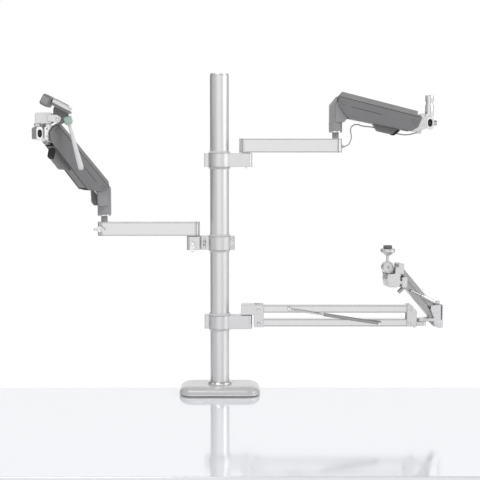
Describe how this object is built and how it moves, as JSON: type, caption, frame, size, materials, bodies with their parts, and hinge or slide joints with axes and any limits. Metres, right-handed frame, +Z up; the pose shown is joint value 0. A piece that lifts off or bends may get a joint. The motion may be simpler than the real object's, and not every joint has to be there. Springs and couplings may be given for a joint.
{
  "type": "desk camera stand",
  "caption": "Desk-clamped aluminium pole with split collars carrying a light arm, a camera arm and a folding microphone arm.",
  "frame": {"origin": "on the desk's surface under the pole's axis, on the underside of the base's pad", "axes": "+Z up along the pole, +X to the right towards the light arm, front at -Y"},
  "size_m": [0.7473, 0.1448, 0.7314],
  "materials": {
    "satin_aluminium": "satin, anodised",
    "polished_aluminium": "polished",
    "cast_aluminium": "fine cast, bead blasted",
    "grey_casing": "mid grey satin paint on thin cast aluminium",
    "dark_plastic": "matt black",
    "sleeve_plastic": "matt grey",
    "bright_steel": "bright plated",
    "lead_grey": "soft grey sheath",
    "handle_white": "pale, slightly glossy"
  },
  "bodies": {
    "stand": {"base_plate": "satin_aluminium", "base_pad": "dark_plastic", "pole": "satin_aluminium", "pole_cap": "satin_aluminium", "clamp_bracket": "satin_aluminium"},
    "screw": {"clamp_handle": "bright_steel"},
    "pressure": {"clamp_screw": "bright_steel"},
    "light_sleeve_ring": {"light_sleeve": "sleeve_plastic"},
    "light_clamp": {"light_collar": "cast_aluminium", "light_collar_cap": "cast_aluminium"},
    "camera_sleeve_ring": {"camera_sleeve": "sleeve_plastic"},
    "camera_clamp": {"camera_collar": "cast_aluminium", "camera_collar_cap": "cast_aluminium"},
    "mic_sleeve_ring": {"mic_sleeve": "sleeve_plastic"},
    "mic_clamp": {"mic_collar": "cast_aluminium", "mic_collar_cap": "cast_aluminium"},
    "light_pivot_wing": {"light_pivot_knob": "cast_aluminium"},
    "light_beam_body": {"light_beam": "satin_aluminium"},
    "light_beam_wing": {"light_beam_knob": "cast_aluminium"},
    "light_riser_body": {"light_riser": "grey_casing"},
    "light_arm_body": {"light_arm_shell": "grey_casing", "light_cable_cover": "grey_casing", "light_gas_cylinder": "dark_plastic", "light_lead": "lead_grey"},
    "light_gas": {"light_gas_rod": "bright_steel"},
    "light_link": {"light_arm_link": "cast_aluminium"},
    "light_head": {"light_knuckle": "cast_aluminium", "light_socket": "polished_aluminium"},
    "camera_pivot_wing": {"camera_pivot_knob": "cast_aluminium"},
    "camera_beam_body": {"camera_beam": "satin_aluminium"},
    "camera_beam_wing": {"camera_beam_knob": "cast_aluminium"},
    "camera_riser_body": {"camera_riser": "grey_casing"},
    "camera_arm_body": {"camera_arm_shell": "grey_casing", "camera_cable_cover": "grey_casing", "camera_gas_cylinder": "dark_plastic"},
    "camera_gas": {"camera_gas_rod": "bright_steel"},
    "camera_link": {"camera_arm_link": "cast_aluminium"},
    "camera_head": {"camera_knuckle": "cast_aluminium", "camera_socket": "polished_aluminium"},
    "spigot": {"light_spigot": "polished_aluminium"},
    "socket_knob": {"light_socket_knob": "bright_steel"},
    "camera_pan_body": {"camera_pan_block": "cast_aluminium"},
    "camera_bed": {"camera_tilt_head": "grey_casing"},
    "camera_plate": {"camera_quick_plate": "cast_aluminium"},
    "camera_grip": {"camera_handle": "handle_white"},
    "mic_bracket_body": {"mic_bracket": "cast_aluminium"},
    "mic_upper": {"mic_upper_bar": "satin_aluminium"},
    "mic_lower": {"mic_lower_bar": "satin_aluminium", "mic_strut_tube": "satin_aluminium"},
    "mic_strut": {"mic_strut_rod": "bright_steel"},
    "mic_elbow_body": {"mic_elbow": "cast_aluminium"},
    "mic_yoke_body": {"mic_yoke": "cast_aluminium"},
    "mic_fore_top": {"mic_fore_upper": "satin_aluminium"},
    "mic_fore_bottom": {"mic_fore_lower": "satin_aluminium"},
    "mic_fore_tube": {"mic_fore_strut_tube": "satin_aluminium"},
    "mic_fore_rod": {"mic_fore_strut_rod": "bright_steel"},
    "mic_head_body": {"mic_head": "cast_aluminium"},
    "mic_ring": {"mic_tilt_ring": "cast_aluminium"},
    "mic_knob": {"mic_tilt_knob": "dark_plastic"},
    "mic_wheel": {"mic_thumbwheel": "dark_plastic"}
  },
  "joints": [
    {"name": "clamp_handle_turn", "type": "hinge", "parent": "pressure", "child": "screw", "pos_m": [0, 0.0085, -0.0816], "axis": [0, 0, 1], "range_deg": [-1081, 1081]},
    {"name": "clamp_screw_travel", "type": "slide", "parent": "stand", "child": "pressure", "axis": [0, 0, 1], "range_m": [-0.009, 0.009]},
    {"name": "light_height", "type": "slide", "parent": "stand", "child": "light_sleeve_ring", "axis": [0, 0, 1], "range_m": [-0.05, 0.12]},
    {"name": "light_turn", "type": "hinge", "parent": "light_sleeve_ring", "child": "light_clamp", "pos_m": [0, 0, 0.4366], "axis": [0, 0, 1], "range_deg": [-50, 50]},
    {"name": "camera_height", "type": "slide", "parent": "stand", "child": "camera_sleeve_ring", "axis": [0, 0, 1], "range_m": [-0.045, 0.05]},
    {"name": "camera_turn", "type": "hinge", "parent": "camera_sleeve_ring", "child": "camera_clamp", "pos_m": [0, 0, 0.2835], "axis": [0, 0, 1], "range_deg": [-50, 50]},
    {"name": "mic_height", "type": "slide", "parent": "stand", "child": "mic_sleeve_ring", "axis": [0, 0, 1], "range_m": [-0.06, 0.05]},
    {"name": "mic_turn", "type": "hinge", "parent": "mic_sleeve_ring", "child": "mic_clamp", "pos_m": [0, 0, 0.1358], "axis": [0, 0, 1], "range_deg": [-50, 50]},
    {"name": "light_pivot_knob_turn", "type": "hinge", "parent": "light_clamp", "child": "light_pivot_wing", "pos_m": [0.0495, 0, 0.4301], "axis": [0, 1, 0], "range_deg": [-180, 180]},
    {"name": "light_swing", "type": "hinge", "parent": "light_clamp", "child": "light_beam_body", "pos_m": [0.0495, 0, 0.4504], "axis": [0, 0, 1], "range_deg": [-60, 60]},
    {"name": "light_beam_knob_turn", "type": "hinge", "parent": "light_beam_body", "child": "light_beam_wing", "pos_m": [0.2205, 0, 0.4631], "axis": [0, 1, 0], "range_deg": [-180, 180]},
    {"name": "light_swivel", "type": "hinge", "parent": "light_beam_body", "child": "light_riser_body", "pos_m": [0.2135, 0, 0.4758], "axis": [0, 0, 1], "range_deg": [-90, 90], "deforming": ["light_lead"]},
    {"name": "light_tilt", "type": "hinge", "parent": "light_riser_body", "child": "light_arm_body", "pos_m": [0.2255, 0, 0.5418], "axis": [0, -1, 0], "range_deg": [-3, 64.3], "deforming": ["light_lead"]},
    {"name": "light_gas_travel", "type": "slide", "parent": "light_arm_body", "child": "light_gas", "axis": [0.969, 0, -0.247], "range_m": [-0.0102, 0.0006]},
    {"name": "light_link_tilt", "type": "hinge", "parent": "light_riser_body", "child": "light_link", "pos_m": [0.2255, 0, 0.5278], "axis": [0, -1, 0], "range_deg": [-3, 64.3]},
    {"name": "light_level", "type": "hinge", "parent": "light_arm_body", "child": "light_head", "pos_m": [0.35632, 0, 0.50845], "axis": [0, -1, 0], "range_deg": [-64.3, 3], "deforming": ["light_lead"]},
    {"name": "camera_pivot_knob_turn", "type": "hinge", "parent": "camera_clamp", "child": "camera_pivot_wing", "pos_m": [-0.0495, 0, 0.277], "axis": [0, -1, 0], "range_deg": [-180, 180]},
    {"name": "camera_swing", "type": "hinge", "parent": "camera_clamp", "child": "camera_beam_body", "pos_m": [-0.0495, 0, 0.2973], "axis": [0, 0, 1], "range_deg": [-60, 60]},
    {"name": "camera_beam_knob_turn", "type": "hinge", "parent": "camera_beam_body", "child": "camera_beam_wing", "pos_m": [-0.2205, 0, 0.31], "axis": [0, -1, 0], "range_deg": [-180, 180]},
    {"name": "camera_swivel", "type": "hinge", "parent": "camera_beam_body", "child": "camera_riser_body", "pos_m": [-0.2135, 0, 0.3227], "axis": [0, 0, 1], "range_deg": [-98, 42]},
    {"name": "camera_tilt", "type": "hinge", "parent": "camera_riser_body", "child": "camera_arm_body", "pos_m": [-0.22296, -0.00739, 0.3887], "axis": [-0.6157, 0.788, 0], "range_deg": [-26, 2.6]},
    {"name": "camera_gas_travel", "type": "slide", "parent": "camera_arm_body", "child": "camera_gas", "axis": [-0.5334, -0.4167, 0.7361], "range_m": [-0.0005, 0.0042]},
    {"name": "camera_link_tilt", "type": "hinge", "parent": "camera_riser_body", "child": "camera_link", "pos_m": [-0.22296, -0.00739, 0.3747], "axis": [-0.6157, 0.788, 0], "range_deg": [-26, 2.6]},
    {"name": "camera_level", "type": "hinge", "parent": "camera_arm_body", "child": "camera_head", "pos_m": [-0.29496, -0.06365, 0.48807], "axis": [-0.6157, 0.788, 0], "range_deg": [-2.6, 26]},
    {"name": "light_spigot_turn", "type": "hinge", "parent": "light_head", "child": "spigot", "pos_m": [0.38522, 0, 0.51675], "axis": [0, 0, 1], "range_deg": [-180, 180]},
    {"name": "light_socket_knob_turn", "type": "hinge", "parent": "light_head", "child": "socket_knob", "pos_m": [0.39262, 0, 0.50445], "axis": [1, 0, 0], "range_deg": [-180, 180]},
    {"name": "camera_pan", "type": "hinge", "parent": "camera_head", "child": "camera_pan_body", "pos_m": [-0.31821, -0.08181, 0.50137], "axis": [0, 0, 1], "range_deg": [-150, 2]},
    {"name": "camera_head_tilt", "type": "hinge", "parent": "camera_pan_body", "child": "camera_bed", "pos_m": [-0.28021, -0.08681, 0.50937], "axis": [0, 1, 0], "range_deg": [-5, 20]},
    {"name": "camera_plate_slide", "type": "slide", "parent": "camera_bed", "child": "camera_plate", "axis": [0.8829, 0, -0.4695], "range_m": [0, 0.02]},
    {"name": "camera_handle_turn", "type": "hinge", "parent": "camera_bed", "child": "camera_grip", "pos_m": [-0.26273, -0.08381, 0.50348], "axis": [0.2487, 0, -0.9686], "range_deg": [-180, 180]},
    {"name": "mic_swing", "type": "hinge", "parent": "mic_clamp", "child": "mic_bracket_body", "pos_m": [0.0495, 0, 0.1493], "axis": [0, 0, 1], "range_deg": [-60, 60]},
    {"name": "mic_lift", "type": "hinge", "parent": "mic_bracket_body", "child": "mic_upper", "pos_m": [0.073, 0, 0.16], "axis": [0, -1, 0], "range_deg": [-30, 30]},
    {"name": "mic_lower_lift", "type": "hinge", "parent": "mic_bracket_body", "child": "mic_lower", "pos_m": [0.073, 0, 0.134], "axis": [0, -1, 0], "range_deg": [-30, 30]},
    {"name": "mic_strut_travel", "type": "slide", "parent": "mic_lower", "child": "mic_strut", "axis": [-0.9881, 0, 0.1538], "range_m": [-0.0136, 0.0136]},
    {"name": "mic_elbow_level", "type": "hinge", "parent": "mic_lower", "child": "mic_elbow_body", "pos_m": [0.355, 0, 0.134], "axis": [0, -1, 0], "range_deg": [-30, 30]},
    {"name": "mic_yoke_turn", "type": "hinge", "parent": "mic_elbow_body", "child": "mic_yoke_body", "pos_m": [0.377, 0, 0.1363], "axis": [0, 0, 1], "range_deg": [-100, 60]},
    {"name": "mic_fore_lift", "type": "hinge", "parent": "mic_yoke_body", "child": "mic_fore_top", "pos_m": [0.39555, 0.00603, 0.163], "axis": [-0.309, 0.9511, 0], "range_deg": [-8, 4]},
    {"name": "mic_fore_lower_lift", "type": "hinge", "parent": "mic_yoke_body", "child": "mic_fore_bottom", "pos_m": [0.40268, 0.00834, 0.1376], "axis": [-0.309, 0.9511, 0], "range_deg": [-8, 4]},
    {"name": "mic_fore_strut_swing", "type": "hinge", "parent": "mic_yoke_body", "child": "mic_fore_tube", "pos_m": [0.40267, -0.00133, 0.171], "axis": [-0.309, 0.9511, 0], "range_deg": [-10.6, 5.4]},
    {"name": "mic_fore_strut_travel", "type": "slide", "parent": "mic_fore_tube", "child": "mic_fore_rod", "axis": [-0.8509, -0.2765, 0.4468], "range_m": [-0.0022, 0.0042]},
    {"name": "mic_head_level", "type": "hinge", "parent": "mic_fore_top", "child": "mic_head_body", "pos_m": [0.33191, -0.01465, 0.23731], "axis": [-0.309, 0.9511, 0], "range_deg": [-4, 8]},
    {"name": "mic_ring_tilt", "type": "hinge", "parent": "mic_head_body", "child": "mic_ring", "pos_m": [0.30927, -0.02201, 0.24031], "axis": [0.309, -0.9511, 0], "range_deg": [-28, 85]},
    {"name": "mic_knob_turn", "type": "hinge", "parent": "mic_ring", "child": "mic_knob", "pos_m": [0.30927, -0.02201, 0.24031], "axis": [0.309, -0.9511, 0], "range_deg": [-180, 180]},
    {"name": "mic_wheel_turn", "type": "hinge", "parent": "mic_ring", "child": "mic_wheel", "pos_m": [0.30927, -0.02201, 0.27511], "axis": [0, 0, 1], "range_deg": [-180, 180]}
  ],
  "couplings": [
    {"joint": "clamp_handle_turn", "follows": "clamp_screw_travel", "rad_per_m": 2094.4},
    {"joint": "light_gas_travel", "follows": "light_tilt", "m_per_rad": -0.00903},
    {"joint": "light_link_tilt", "follows": "light_tilt", "ratio": 1},
    {"joint": "light_level", "follows": "light_tilt", "ratio": -1},
    {"joint": "camera_gas_travel", "follows": "camera_tilt", "m_per_rad": -0.0091},
    {"joint": "camera_link_tilt", "follows": "camera_tilt", "ratio": 1},
    {"joint": "camera_level", "follows": "camera_tilt", "ratio": -1},
    {"joint": "mic_lower_lift", "follows": "mic_lift", "ratio": 1},
    {"joint": "mic_strut_travel", "follows": "mic_lift", "m_per_rad": -0.0257},
    {"joint": "mic_elbow_level", "follows": "mic_lift", "ratio": -1},
    {"joint": "mic_fore_lower_lift", "follows": "mic_fore_lift", "ratio": 1},
    {"joint": "mic_fore_strut_swing", "follows": "mic_fore_lift", "ratio": 1.3205},
    {"joint": "mic_fore_strut_travel", "follows": "mic_fore_lift", "m_per_rad": -0.0285},
    {"joint": "mic_head_level", "follows": "mic_fore_lift", "ratio": -1}
  ]
}
